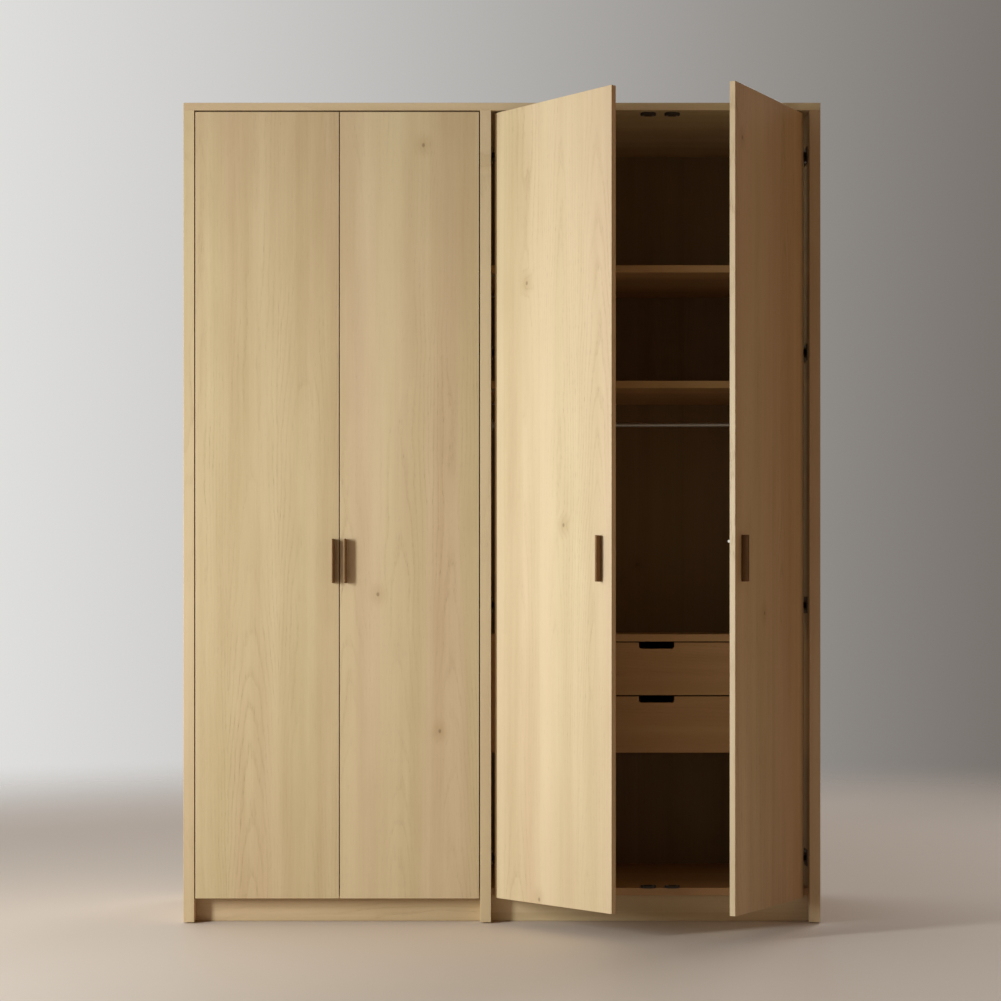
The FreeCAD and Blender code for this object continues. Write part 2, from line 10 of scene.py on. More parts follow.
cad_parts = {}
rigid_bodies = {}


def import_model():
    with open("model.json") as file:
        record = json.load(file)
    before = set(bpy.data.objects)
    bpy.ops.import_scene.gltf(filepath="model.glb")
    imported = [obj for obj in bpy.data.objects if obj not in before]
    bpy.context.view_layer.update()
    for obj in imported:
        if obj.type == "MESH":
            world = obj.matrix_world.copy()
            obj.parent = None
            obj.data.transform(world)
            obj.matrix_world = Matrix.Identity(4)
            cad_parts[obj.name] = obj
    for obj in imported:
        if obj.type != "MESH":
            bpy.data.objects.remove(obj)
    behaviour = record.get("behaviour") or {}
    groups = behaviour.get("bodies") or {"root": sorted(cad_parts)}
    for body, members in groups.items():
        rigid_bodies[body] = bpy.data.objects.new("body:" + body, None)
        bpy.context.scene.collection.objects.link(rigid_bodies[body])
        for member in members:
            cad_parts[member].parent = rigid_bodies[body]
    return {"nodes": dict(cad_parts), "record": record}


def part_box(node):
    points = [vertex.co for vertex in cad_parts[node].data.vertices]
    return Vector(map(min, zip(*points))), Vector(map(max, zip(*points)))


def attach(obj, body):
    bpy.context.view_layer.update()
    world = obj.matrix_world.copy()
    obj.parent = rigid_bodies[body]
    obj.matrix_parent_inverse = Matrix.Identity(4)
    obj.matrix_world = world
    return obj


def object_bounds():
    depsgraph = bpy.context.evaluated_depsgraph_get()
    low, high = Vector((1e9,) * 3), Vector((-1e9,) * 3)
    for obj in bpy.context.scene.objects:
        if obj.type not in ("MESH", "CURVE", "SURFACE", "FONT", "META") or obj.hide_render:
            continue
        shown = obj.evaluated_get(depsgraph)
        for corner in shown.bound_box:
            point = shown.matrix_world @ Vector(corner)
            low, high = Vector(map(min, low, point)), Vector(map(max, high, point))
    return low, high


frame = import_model()
CAD_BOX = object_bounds()
RECORD = frame["record"]
NODES = frame["nodes"]
SLOT_OF = {part["node"]: part["material_slot"] for part in RECORD["subparts"]}

# ---------------------------------------------------------------- leaves


class Leaf:
    """A leaf, with the swing that takes it from its closed place to where it stands at rest."""

    def __init__(self, name):
        joints = RECORD["behaviour"]["joints"]
        joint = next(j for j in joints if j["name"] == f"{name}_hinge")
        opening = math.radians(-joint["range_deg"][0])
        pivot = Matrix.Translation(joint["pos_m"])
        turn = Matrix.Rotation(opening, 4, Vector(joint["axis"]))
        self.name = name
        self.body = f"{name}_leaf"
        self.hand = 1 if joint["axis"][2] < 0 else -1
        self.swing = pivot @ turn @ pivot.inverted()


LEAVES = [
    Leaf(name) for name in
    ("left_bay_left", "left_bay_right", "right_bay_left", "right_bay_right")
]
SWING_OF = {leaf.body: leaf.swing for leaf in LEAVES}


def solids(node, swing=Matrix.Identity(4)):
    """The box of each separate solid of a node, with the swing of an open leaf undone."""
    bm = bmesh.new()
    bm.from_mesh(NODES[node].data)
    bmesh.ops.remove_doubles(bm, verts=bm.verts, dist=1e-6)
    bm.transform(swing.inverted())
    boxes = []
    seen = set()
    for first in bm.verts:
        if first in seen:
            continue
        seen.add(first)
        island = []
        queue = [first]
        while queue:
            vert = queue.pop()
            island.append(vert.co.copy())
            for edge in vert.link_edges:
                other = edge.other_vert(vert)
                if other not in seen:
                    seen.add(other)
                    queue.append(other)
        low, high = (Vector(pick(c) for c in zip(*island)) for pick in (min, max))
        boxes.append((low, high))
    bm.free()
    return sorted(boxes, key=lambda box: tuple(box[0]))


# ---------------------------------------------------------------- shader shorthand


class Graph:
    """Adds shader nodes to a tree, one call each."""

    def __init__(self, tree):
        self.tree = tree

    def add(self, kind, inputs=(), **settings):
        node = self.tree.nodes.new(kind)
        for key, value in settings.items():
            setattr(node, key, value)
        for key, source in dict(inputs).items():
            self.feed(node.inputs[key], source)
        return node

    def feed(self, socket, source):
        if isinstance(source, bpy.types.NodeSocket):
            self.tree.links.new(source, socket)
        else:
            socket.default_value = source

    def math(self, operation, *terms):
        node = self.add("ShaderNodeMath", operation=operation)
        for socket, term in zip(node.inputs, terms):
            self.feed(socket, term)
        return node.outputs[0]

    def vector(self, operation, first, second):
        node = self.add("ShaderNodeVectorMath", operation=operation)
        self.feed(node.inputs[0], first)
        self.feed(node.inputs[1], second)
        return node.outputs[0]

    def noise(self, position, per_metre, detail=2.0, roughness=0.5):
        """Noise from 0 to 1 with its own scale along each axis."""
        scaled = self.vector("MULTIPLY", position, per_metre)
        inputs = {"Vector": scaled, "Scale": 1.0, "Detail": detail, "Roughness": roughness}
        return self.add("ShaderNodeTexNoise", inputs).outputs[0]

    def remap(self, value, start, end, low=0.0, high=1.0):
        """A smooth step from low to high as value goes from start to end."""
        node = self.add("ShaderNodeMapRange", interpolation_type="SMOOTHSTEP")
        for socket, term in zip(node.inputs, (value, start, end, low, high)):
            self.feed(socket, term)
        return node.outputs[0]

    def sway(self, value, amount):
        """A value from 0 to 1 as one from -amount / 2 to amount / 2."""
        return self.math("MULTIPLY", self.math("SUBTRACT", value, 0.5), amount)

    def mix(self, share, first, second):
        node = self.add("ShaderNodeMix", data_type="RGBA")
        for index, source in ((0, share), (6, first), (7, second)):
            self.feed(node.inputs[index], source)
        return node.outputs[2]

    def split(self, vector):
        return self.add("ShaderNodeSeparateXYZ", {"Vector": vector}).outputs

    def combine(self, x, y, z):
        return self.add("ShaderNodeCombineXYZ", {"X": x, "Y": y, "Z": z}).outputs[0]

    def bump(self, height, distance, strength):
        inputs = {"Height": height, "Distance": distance, "Strength": strength}
        return self.add("ShaderNodeBump", inputs).outputs[0]


class Surface(Graph):
    """A material with one Principled shader."""

    def __init__(self, name, **constants):
        self.material = bpy.data.materials.new(name)
        self.material.use_nodes = True
        super().__init__(self.material.node_tree)
        self.tree.nodes.clear()
        self.shader = self.add("ShaderNodeBsdfPrincipled")
        output = self.add("ShaderNodeOutputMaterial")
        self.feed(output.inputs["Surface"], self.shader.outputs[0])
        self.set(**constants)
        self.position = self.add("ShaderNodeTexCoord").outputs["Object"]

    def set(self, **sockets):
        for name, source in sockets.items():
            self.feed(self.shader.inputs[name.replace("_", " ")], source)


def rgb(*channels):
    return (*channels, 1.0)


# ---------------------------------------------------------------- oak

STRIP = 0.136  # width of one leaf of veneer
RING = 0.0075  # width of a growth ring
TAPER = 0.021  # how fast the rings close in along the trunk
KNOTS = 2.2  # knots per metre each way
KNOT_EDGE = 0.0055  # where a knot has faded out, from its middle
KNOT_CORE = 0.0018  # where it is at its darkest
KNOT_REACH = 0.034  # how far out the rings bend round it
KNOT_BEND = 1.7  # how many rings they are moved by
KNOT_BROWN = rgb(0.13, 0.065, 0.025)


def oak_group():
    """Crown-cut oak veneer. Position is in metres: X across, Y through and Z along the grain."""
    tree = bpy.data.node_groups.new("crown_cut_oak", "ShaderNodeTree")
    sockets = tree.interface
    sockets.new_socket("Position", in_out="INPUT", socket_type="NodeSocketVector")
    sockets.new_socket("Pale", in_out="INPUT", socket_type="NodeSocketColor")
    sockets.new_socket("Deep", in_out="INPUT", socket_type="NodeSocketColor")
    sockets.new_socket("Color", in_out="OUTPUT", socket_type="NodeSocketColor")
    sockets.new_socket("Roughness", in_out="OUTPUT", socket_type="NodeSocketFloat")
    sockets.new_socket("Height", in_out="OUTPUT", socket_type="NodeSocketFloat")
    g = Graph(tree)
    given = g.add("NodeGroupInput").outputs
    result = g.add("NodeGroupOutput").inputs
    position = given["Position"]
    across, through, along = g.split(position)

    # a knot here and there, which the rings bend round
    drift = g.noise(position, (14, 14, 9), 1)
    flat = g.combine(
        g.math("ADD", across, g.sway(drift, 0.008)), g.math("MULTIPLY", along, 0.72), 0.0
    )
    cells = g.add(
        "ShaderNodeTexVoronoi", {"Vector": flat, "Scale": KNOTS}, voronoi_dimensions="2D"
    ).outputs
    away = g.math("DIVIDE", cells["Distance"], KNOTS)
    chosen = g.math("GREATER_THAN", g.split(cells["Color"])[0], 0.5)
    knot = g.math("MULTIPLY", g.remap(away, KNOT_EDGE, KNOT_CORE), chosen)
    halo = g.math("MULTIPLY", g.remap(away, KNOT_REACH, 0.0), chosen)

    # strips of veneer laid side by side, each with its own figure
    strip = g.math("FLOOR", g.math("DIVIDE", across, STRIP))
    chance = g.add("ShaderNodeTexWhiteNoise", {"W": strip}, noise_dimensions="1D").outputs[0]
    middle = g.math("MULTIPLY", g.math("ADD", strip, 0.5), STRIP)
    wander = g.noise(position, (1.7, 1.7, 0.5), 2)
    aside = g.math("ADD", g.math("SUBTRACT", across, middle), g.sway(wander, 0.11))
    seed = g.math("MULTIPLY", chance, 7.3)
    height = g.math("ADD", g.math("MULTIPLY", along, 0.4), seed)
    depth = g.remap(g.noise(g.combine(seed, 0.0, height), (1, 1, 1), 1), 0.3, 0.75, 0.01, 0.07)
    radius = g.math("SQRT", g.math(
        "ADD", g.math("POWER", aside, 2.0), g.math("POWER", depth, 2.0)
    ))
    ripple = g.sway(g.noise(position, (20, 20, 4.6), 3), 0.017)
    closing = g.math("MULTIPLY", along, TAPER)
    rings = g.math("DIVIDE", g.math("ADD", g.math("ADD", radius, closing), ripple), RING)
    rings = g.math("ADD", rings, g.math("MULTIPLY", halo, KNOT_BEND))
    phase = g.math("FRACT", g.math("ADD", rings, seed))
    early = g.math("MULTIPLY", g.remap(phase, 0.0, 0.12), g.remap(phase, 0.5, 0.12))
    line = g.math("MULTIPLY", early, g.remap(g.noise(position, (9, 9, 1.3), 2), 0.38, 0.7, 0.1, 1))

    # the body of the wood
    cloud = g.noise(position, (8, 8, 0.3), 2)
    bands = g.noise(position, (27, 27, 0.7), 2)
    mottle = g.noise(position, (26, 26, 4.5), 3)
    fibre = g.noise(position, (300, 300, 4), 4, 0.62)
    dashes = g.noise(position, (1250, 1250, 42), 1)
    pores = g.math("MULTIPLY", g.remap(dashes, 0.58, 0.68), g.math("ADD", line, 0.2))
    tone = 0.42
    for part, weight in ((cloud, 1.3), (chance, 0.4), (bands, 0.7), (mottle, 0.4), (fibre, 0.3)):
        tone = g.math("ADD", tone, g.sway(part, weight))
    for part, weight in ((line, 0.2), (halo, 0.4)):
        tone = g.math("ADD", tone, g.math("MULTIPLY", part, weight))
    tone = g.remap(tone, -0.45, 1.45)
    colour = g.mix(tone, given["Pale"], given["Deep"])
    blush = g.noise(g.vector("ADD", position, (4.1, 0.0, 2.3)), (9, 9, 0.5), 2)
    hue = g.math("ADD", 0.5, g.sway(blush, 0.036))
    colour = g.add("ShaderNodeHueSaturation", {"Hue": hue, "Color": colour}).outputs[0]
    pore_share = g.math("MULTIPLY", pores, 0.3)
    colour = g.mix(pore_share, colour, KNOT_BROWN)
    colour = g.mix(g.math("MULTIPLY", knot, 0.5), colour, KNOT_BROWN)
    rough = g.math("ADD", g.sway(fibre, 0.18), g.math("MULTIPLY", pores, 0.15))
    relief = g.math("SUBTRACT", g.math("MULTIPLY", fibre, 0.35), pores)
    g.feed(result["Color"], colour)
    g.feed(result["Roughness"], rough)
    g.feed(result["Height"], relief)
    return tree


OAK = oak_group()
OAK_PALE = rgb(0.725, 0.57, 0.355)
OAK_DEEP = rgb(0.48, 0.33, 0.165)
# a deeper, redder copy of the oak for the boards inside the bay: painted shade standing in for the
# shade that falls there
SHADED_INSIDE_PALE = rgb(0.64, 0.4, 0.2)
SHADED_INSIDE_DEEP = rgb(0.43, 0.235, 0.095)
BACK_PALE = rgb(0.29, 0.185, 0.09)
BACK_DEEP = rgb(0.19, 0.115, 0.05)
BOX_PALE = rgb(0.74, 0.62, 0.44)
BOX_DEEP = rgb(0.58, 0.45, 0.28)
GLUE_LINE = rgb(0.21, 0.12, 0.055)
GLUE_DEPTH = 0.0011  # from a face of a lipped board to its glue line
GLUE_EDGE = 0.00032  # where the glue line has faded out, from its middle
GLUE_CORE = 0.00016  # where it is at its darkest
AXES = "XYZ"

# how the names end of boards with their grain across the wardrobe and from front to back; the
# grain of the others stands upright
LAID_ACROSS = (
    "top_board", "_floor", "_plinth", "_shelf", "unit_top", "unit_base", "_front", "_drawer_base",
    "drawer_back",
)
LAID_DEEP = ("drawer_left_side", "drawer_right_side")
# and how they end where the board is inside the bay; these get a deeper, redder copy of the oak,
# painted shade for the shade that falls inside the bay
SHADED_INSIDE = ("_front", "_shelf", "_floor", "unit_top", "unit_base", "_cheek", "_filler")


def grain_of(node):
    if node.endswith(LAID_ACROSS):
        return "X"
    if node.endswith(LAID_DEEP):
        return "Y"
    return "Z"


def figure_of(surface, position, colours):
    """The oak's colour, roughness and height at a position in the board's own axes."""
    pale, deep = colours
    inputs = {"Position": position, "Pale": pale, "Deep": deep}
    node = surface.add("ShaderNodeGroup", node_tree=OAK)
    for name, source in inputs.items():
        surface.feed(node.inputs[name], source)
    return node.outputs


def wood(name, layout, seed, colours, roughness, swing, lipping):
    """Veneered board. layout names the axes across, through and along its grain.

    swing is what stands the board open, and its figure turns with it. lipping is the front
    and rear face of a board whose edges are lipped, which leaves a fine glue line round
    them, or None.
    """
    s = Surface(name)
    undone = swing.inverted()
    straight = s.add("ShaderNodeMapping", {
        "Vector": s.position, "Location": undone.translation, "Rotation": undone.to_euler(),
    }).outputs[0]
    parts = s.split(straight)
    turned = s.combine(*(parts[AXES.index(axis)] for axis in layout))
    placed = s.vector("ADD", turned, (0.37 * seed, 0.11 * seed, 1.73 * seed))
    figure = figure_of(s, placed, colours)
    colour = figure["Color"]
    if lipping:
        through = parts[AXES.index(layout[1])]
        for face, inward in zip(lipping, (1, -1)):
            line = s.math("ABSOLUTE", s.math("SUBTRACT", through, face + inward * GLUE_DEPTH))
            colour = s.mix(s.remap(line, GLUE_EDGE, GLUE_CORE, 0.0, 0.6), colour, GLUE_LINE)
    s.set(
        Base_Color=colour,
        Roughness=s.math("ADD", figure["Roughness"], roughness),
        Normal=s.bump(figure["Height"], 0.00022, 0.55),
        Specular_IOR_Level=0.42,
    )
    return s.material


# ---------------------------------------------------------------- metals and plastics

BRONZE_DEEP = rgb(0.125, 0.058, 0.018)
BRONZE_PALE = rgb(0.2, 0.1, 0.034)
BRONZE_RUBBED = rgb(0.3, 0.19, 0.09)


def bronze():
    """Brown satin bronze, brushed along its length and rubbed bright at the edges."""
    s = Surface("pull_bronze", Metallic=0.55, Specular_IOR_Level=0.5)
    streaks = s.noise(s.position, (900, 900, 7), 3, 0.6)
    patches = s.noise(s.position, (60, 60, 22), 2)
    tone = s.math("ADD", s.sway(streaks, 0.8), s.sway(patches, 0.9))
    colour = s.mix(s.remap(tone, -0.4, 0.4), BRONZE_DEEP, BRONZE_PALE)
    inside = s.add("ShaderNodeBevel", {"Radius": 0.0018}, samples=4).outputs[0]
    normal = s.add("ShaderNodeNewGeometry").outputs["Normal"]
    bend = s.add("ShaderNodeVectorMath", {0: inside, 1: normal}, operation="DOT_PRODUCT")
    wear = s.remap(bend.outputs["Value"], 0.985, 0.88, 0.0, 0.4)
    s.set(
        Base_Color=s.mix(wear, colour, BRONZE_RUBBED),
        Roughness=s.math("ADD", s.sway(streaks, 0.2), 0.4),
        Normal=s.bump(streaks, 0.00006, 0.5),
    )
    return s.material


def metal(name, shade, roughness, per_metre):
    """Plated or drawn steel with fine lines, and cloudy patches in its gloss."""
    s = Surface(name, Metallic=1.0)
    lines = s.noise(s.position, per_metre, 3, 0.6)
    haze = s.noise(s.position, (38, 38, 38), 3)
    colour = s.mix(s.remap(lines, 0.3, 0.7), rgb(*(0.86 * c for c in shade)), rgb(*shade))
    gloss = s.math("ADD", s.sway(lines, 0.14), s.sway(haze, 0.2))
    s.set(
        Base_Color=colour,
        Roughness=s.math("ADD", gloss, roughness),
        Normal=s.bump(lines, 0.00003, 0.4),
    )
    return s.material


def plastic(name, shade, roughness):
    """Moulded plastic with a fine spark-eroded texture."""
    s = Surface(name, Specular_IOR_Level=0.45)
    pits = s.noise(s.position, (1400, 1400, 1400), 2)
    cloud = s.noise(s.position, (70, 70, 70), 2)
    colour = s.mix(cloud, rgb(*(0.8 * c for c in shade)), rgb(*shade))
    s.set(
        Base_Color=colour,
        Roughness=s.math("ADD", s.sway(pits, 0.16), roughness),
        Normal=s.bump(pits, 0.00008, 0.6),
    )
    return s.material


FINISHES = {
    "pull_bronze": bronze(),
    "rail_chrome": metal("rail_chrome", (0.55, 0.54, 0.53), 0.5, (4, 900, 900)),
    "hinge_black_nickel": metal("hinge_black_nickel", (0.16, 0.14, 0.12), 0.32, (420, 420, 420)),
    "zinc_steel": metal("zinc_steel", (0.55, 0.56, 0.57), 0.4, (260, 30, 260)),
    "dark_plastic": plastic("dark_plastic", (0.05, 0.04, 0.034), 0.5),
    "pale_plastic": plastic("pale_plastic", (0.82, 0.8, 0.76), 0.42),
}
WOODS = {
    "oak_veneer": ((OAK_PALE, OAK_DEEP), 0.46),
    "back_veneer": ((BACK_PALE, BACK_DEEP), 0.62),
    "drawer_box": ((BOX_PALE, BOX_DEEP), 0.55),
}


def finish_board(node, seed):
    """Gives one board its own piece of veneer, with the grain along its length."""
    body = NODES[node].parent.name.removeprefix("body:")
    swing = SWING_OF.get(body, Matrix.Identity(4))
    low, high = solids(node, swing)[0]
    size = high - low
    through = AXES[min(range(3), key=lambda i: size[i])]
    along = grain_of(node)
    across = next(axis for axis in AXES if axis not in (through, along))
    is_leaf = node in SWING_OF
    colours, roughness = WOODS[SLOT_OF[node]]
    # boards inside the bay take the darker copy of the oak: painted shade
    if node.endswith(SHADED_INSIDE):
        colours = (SHADED_INSIDE_PALE, SHADED_INSIDE_DEEP)
    return wood(
        f"{SLOT_OF[node]}_{node}", across + through + along, seed, colours, roughness,
        swing, (low.y, high.y) if is_leaf else None,
    )


for seed, (name, thing) in enumerate(sorted(NODES.items())):
    if SLOT_OF[name] in WOODS:
        material = finish_board(name, seed)
    else:
        material = FINISHES[SLOT_OF[name]]
    for slot in thing.material_slots:
        slot.material = material

# ---------------------------------------------------------------- small fittings
# A screw's size is the radius of its head.


def lathe(profile, sides=24):
    """Vertices and faces of a profile of (radius, height) turned about Z; it ends at radius 0."""
    verts = []
    faces = []
    for radius, height in profile[:-1]:
        for i in range(sides):
            angle = math.tau * i / sides
            verts.append((radius * math.cos(angle), radius * math.sin(angle), height))
    for ring in range(len(profile) - 2):
        for i in range(sides):
            j = (i + 1) % sides
            low, high = ring * sides, (ring + 1) * sides
            faces.append((low + i, low + j, high + j, high + i))
    tip = len(verts)
    verts.append((0.0, 0.0, profile[-1][1]))
    last = tip - sides
    faces += [(last + i, last + (i + 1) % sides, tip) for i in range(sides)]
    return verts, faces


CROSS = [
    (0.14, 0.14), (0.14, 0.56), (-0.14, 0.56), (-0.14, 0.14), (-0.56, 0.14), (-0.56, -0.14),
    (-0.14, -0.14), (-0.14, -0.56), (0.14, -0.56), (0.14, -0.14), (0.56, -0.14), (0.56, 0.14),
]
HEAD = [(1.0, 0.0), (1.0, 0.14), (0.95, 0.27), (0.86, 0.36), (0.74, 0.41)]


def screw_head(sides=24):
    """A pan head of radius 1 that stands on the XY plane, with a cross recess."""
    verts, faces = lathe(HEAD + [(0.0, HEAD[-1][1])], sides)
    verts = verts[:-1]
    faces = faces[:-sides]
    bm = bmesh.new()
    made = [bm.verts.new(v) for v in verts]
    for face in faces:
        bm.faces.new([made[i] for i in face])
    rim = made[-sides:]
    top = HEAD[-1][1]
    mouth = [bm.verts.new((x, y, top)) for x, y in CROSS]
    foot = [bm.verts.new((0.6 * x, 0.6 * y, top - 0.3)) for x, y in CROSS]
    loops = [bm.edges.get((a, b)) or bm.edges.new((a, b))
             for ring in (rim, mouth) for a, b in zip(ring, ring[1:] + ring[:1])]
    bmesh.ops.triangle_fill(bm, use_beauty=True, edges=loops)
    for i in range(len(CROSS)):
        j = (i + 1) % len(CROSS)
        bm.faces.new((mouth[i], mouth[j], foot[j], foot[i]))
    bm.faces.new(foot)
    bmesh.ops.recalc_face_normals(bm, faces=bm.faces)
    bm.verts.index_update()
    shape = ([tuple(v.co) for v in bm.verts], [tuple(v.index for v in f.verts) for f in bm.faces])
    bm.free()
    return shape


SCREW = screw_head()
RIVET = lathe([(1.0, 0.0), (0.97, 0.2), (0.8, 0.42), (0.45, 0.55), (0.0, 0.6)], 20)
# a flanged shelf-pin sleeve whose floor sits almost flush with the board; in dark plastic, that
# floor is painted shade in place of the depth of the hole
SLEEVE = lathe([
    (1.0, 0.0), (0.98, 0.1), (0.9, 0.14), (0.68, 0.14), (0.62, 0.04), (0.55, 0.02), (0.0, 0.02),
])


def facing(point, normal, size, spin=0.0):
    """Puts a shape that stands on the XY plane at a point, facing along a normal."""
    turn = Vector((0, 0, 1)).rotation_difference(Vector(normal)).to_matrix().to_4x4()
    own = Matrix.Rotation(spin, 4, "Z")
    return Matrix.Translation(point) @ turn @ own @ Matrix.Scale(size, 4)


CREASE = math.radians(38)


def fit(name, body, slot, stamps, swing=Matrix.Identity(4)):
    """One piece made of many small shapes, each (shape, placement), that rides on a body."""
    verts = []
    faces = []
    for (points, polygons), placement in stamps:
        first = len(verts)
        place = swing @ placement
        verts += [place @ Vector(p) for p in points]
        faces += [[first + i for i in polygon] for polygon in polygons]
    mesh = bpy.data.meshes.new(name)
    mesh.from_pydata(verts, [], faces)
    mesh.materials.append(FINISHES[slot])
    mesh.shade_smooth()
    mesh.set_sharp_from_angle(angle=CREASE)
    piece = bpy.data.objects.new(name, mesh)
    bpy.context.scene.collection.objects.link(piece)
    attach(piece, body)


def spins():
    """Turns for one screw after another, so that no two recesses line up."""
    angle = 0.3
    while True:
        angle = (angle * 2.61 + 0.7) % math.tau
        yield angle


SPIN = spins()


def screw(point, normal, radius):
    return SCREW, facing(point, normal, radius, next(SPIN))


BACK = Vector((0, 1, 0))
UP = Vector((0, 0, 1))

WING_THICK = 0.0012
WING_HOLE = 0.0054  # in from the end of a wing
WING_SCREW = 0.0036
LINK_FACE = 0.006  # above and below the middle of the link
LINK_PIN = 0.0017
CUP_PIN = 0.0052  # behind the bottom of the cup
END_PIN = 0.0026  # in from the link's free end


def fit_cups(leaf):
    """Two screws in the wings of each hinge cup, and the pins that its link turns on."""
    node = f"{leaf.name}_hinge_cups"
    rear = max(high.y for _, high in solids(leaf.body, leaf.swing)) + WING_THICK
    heads = []
    pins = []
    for low, high in solids(node, leaf.swing):
        x = (low.x + high.x) / 2
        z = (low.z + high.z) / 2
        for height in (low.z + WING_HOLE, high.z - WING_HOLE):
            heads.append(screw((x, rear, height), BACK, WING_SCREW))
        for y in (low.y + CUP_PIN, high.y - END_PIN):
            for face in (UP, -UP):
                place = Vector((x, y, z)) + face * LINK_FACE
                pins.append((RIVET, facing(place, face, LINK_PIN)))
    fit(f"{leaf.name}_cup_screws", leaf.body, "zinc_steel", heads, leaf.swing)
    fit(f"{leaf.name}_link_pins", leaf.body, "zinc_steel", pins, leaf.swing)


PLATE_THICK = 0.002
PLATE_SCREW = 0.0042
PLATE_SCREW_IN = 0.027  # in from the rear end
PLATE_SCREW_UP = 0.0155  # above and below the middle
ARM_STANDS = 0.0115  # how far an arm's outer face stands off the board that it is fixed to
ARM_SCREWS = ((0.014, 0.0036), (0.028, 0.0046))  # how far in from the rear end each is, and its size


def fit_arms(leaf):
    """The base plate's two screws, and the arm's fixing and adjusting screws."""
    heads = []
    for low, high in solids(f"{leaf.name}_hinge_arms"):
        board = low.x if leaf.hand > 0 else high.x
        plate_face = board + leaf.hand * PLATE_THICK
        arm_face = board + leaf.hand * ARM_STANDS
        inward = Vector((leaf.hand, 0, 0))
        z = (low.z + high.z) / 2
        y = high.y - PLATE_SCREW_IN
        for height in (-PLATE_SCREW_UP, PLATE_SCREW_UP):
            heads.append(screw((plate_face, y, z + height), inward, PLATE_SCREW))
        for inside, radius in ARM_SCREWS:
            heads.append(screw((arm_face, high.y - inside, z), inward, radius))
    fit(f"{leaf.name}_arm_screws", "carcass", "zinc_steel", heads)


STRIKE_SUNK = 0.0004
STRIKE_SCREW = 0.0023
STRIKE_SCREW_ASIDE = 0.0065


def fit_strikes(leaf):
    """Two screws in each strike plate, sunk a little so that they clear the catch."""
    heads = []
    for low, high in solids(f"{leaf.name}_strike_plates", leaf.swing):
        middle = (low + high) / 2
        for x in (-STRIKE_SCREW_ASIDE, STRIKE_SCREW_ASIDE):
            place = (middle.x + x, high.y - STRIKE_SUNK, middle.z)
            heads.append(screw(place, BACK, STRIKE_SCREW))
    fit(f"{leaf.name}_strike_screws", leaf.body, "zinc_steel", heads, leaf.swing)


PULL_SCREW = 0.0042
PULL_SCREW_IN = 0.026  # in from the end of the pull


def fit_pull(leaf):
    """The two machine screws that hold the pull from the rear of the leaf."""
    low, high = solids(f"{leaf.name}_pull", leaf.swing)[0]
    rear = max(top.y for _, top in solids(leaf.body, leaf.swing))
    x = (low.x + high.x) / 2
    heads = [
        screw((x, rear, z), BACK, PULL_SCREW)
        for z in (low.z + PULL_SCREW_IN, high.z - PULL_SCREW_IN)
    ]
    fit(f"{leaf.name}_pull_screws", leaf.body, "zinc_steel", heads, leaf.swing)


FLANGE_THICK = 0.003
FLANGE_SCREW = 0.0025
FLANGE_SCREW_UP = 0.0132  # above and below the rail's middle
SET_SCREW = 0.0018
SET_SCREW_ASIDE = 0.002  # past the bracket's middle, towards the bay
SET_SCREW_UP = 0.0074  # from the foot of the flange to the underside of the collar


def fit_rail_flanges():
    """Two screws in each flange, and the set screw under its collar that grips the rail."""
    heads = []
    for low, high in solids("rail_brackets"):
        inward = 1 if nearest_wall(low.x, high.x) == low.x else -1
        face = low.x + FLANGE_THICK if inward > 0 else high.x - FLANGE_THICK
        y, z = (low.y + high.y) / 2, (low.z + high.z) / 2
        for height in (-FLANGE_SCREW_UP, FLANGE_SCREW_UP):
            heads.append(screw((face, y, z + height), (inward, 0, 0), FLANGE_SCREW))
        collar = (low.x + high.x) / 2 + inward * SET_SCREW_ASIDE
        heads.append(screw((collar, y, low.z + SET_SCREW_UP), -UP, SET_SCREW))
    fit("rail_flange_screws", "carcass", "zinc_steel", heads)


def walls():
    """X of the inner faces of the sides and of both faces of the divider."""
    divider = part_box("divider")
    return (
        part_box("side_left")[1].x, divider[0].x, divider[1].x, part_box("side_right")[0].x,
    )


def nearest_wall(*ends):
    """The one of two X values that lies nearest to a wall."""
    return min(ends, key=lambda x: min(abs(x - wall) for wall in walls()))


CATCH_SCREW = 0.0026
CATCH_SCREW_ASIDE = 0.013  # to either side of the middle
CATCH_SCREW_BEHIND = 0.006  # and behind it


def fit_catches():
    """Two screws in each magnetic catch, from below at the top and from above at the floor."""
    heads = []
    for low, high in solids("magnetic_catches"):
        under_top = low.z > CAD_BOX[1].z / 2
        face, normal = (low.z, -UP) if under_top else (high.z, UP)
        middle = (low + high) / 2
        y = middle.y + CATCH_SCREW_BEHIND
        for x in (-CATCH_SCREW_ASIDE, CATCH_SCREW_ASIDE):
            heads.append(screw((middle.x + x, y, face), normal, CATCH_SCREW))
    fit("catch_screws", "carcass", "zinc_steel", heads)


BRACKET_THICK = 0.0025
BRACKET_SCREW = 0.0034
BRACKET_SCREW_ASIDE = 0.013  # to either side of the middle
BRACKET_SCREW_IN = 0.012  # in from the front


def fit_wall_brackets():
    """The two screws that hold each wall bracket to the top board, from below."""
    heads = []
    for low, high in solids("wall_brackets"):
        middle = (low + high) / 2
        y = low.y + BRACKET_SCREW_IN
        under = high.z - BRACKET_THICK
        for x in (-BRACKET_SCREW_ASIDE, BRACKET_SCREW_ASIDE):
            heads.append(screw((middle.x + x, y, under), -UP, BRACKET_SCREW))
    fit("bracket_screws", "carcass", "zinc_steel", heads)


SLEEVE_RADIUS = 0.0042
SLEEVE_PITCH = 0.032
SLEEVE_STEPS = (-3, -2, -1, 1, 2, 3)  # the holes above and below the one that holds the pin


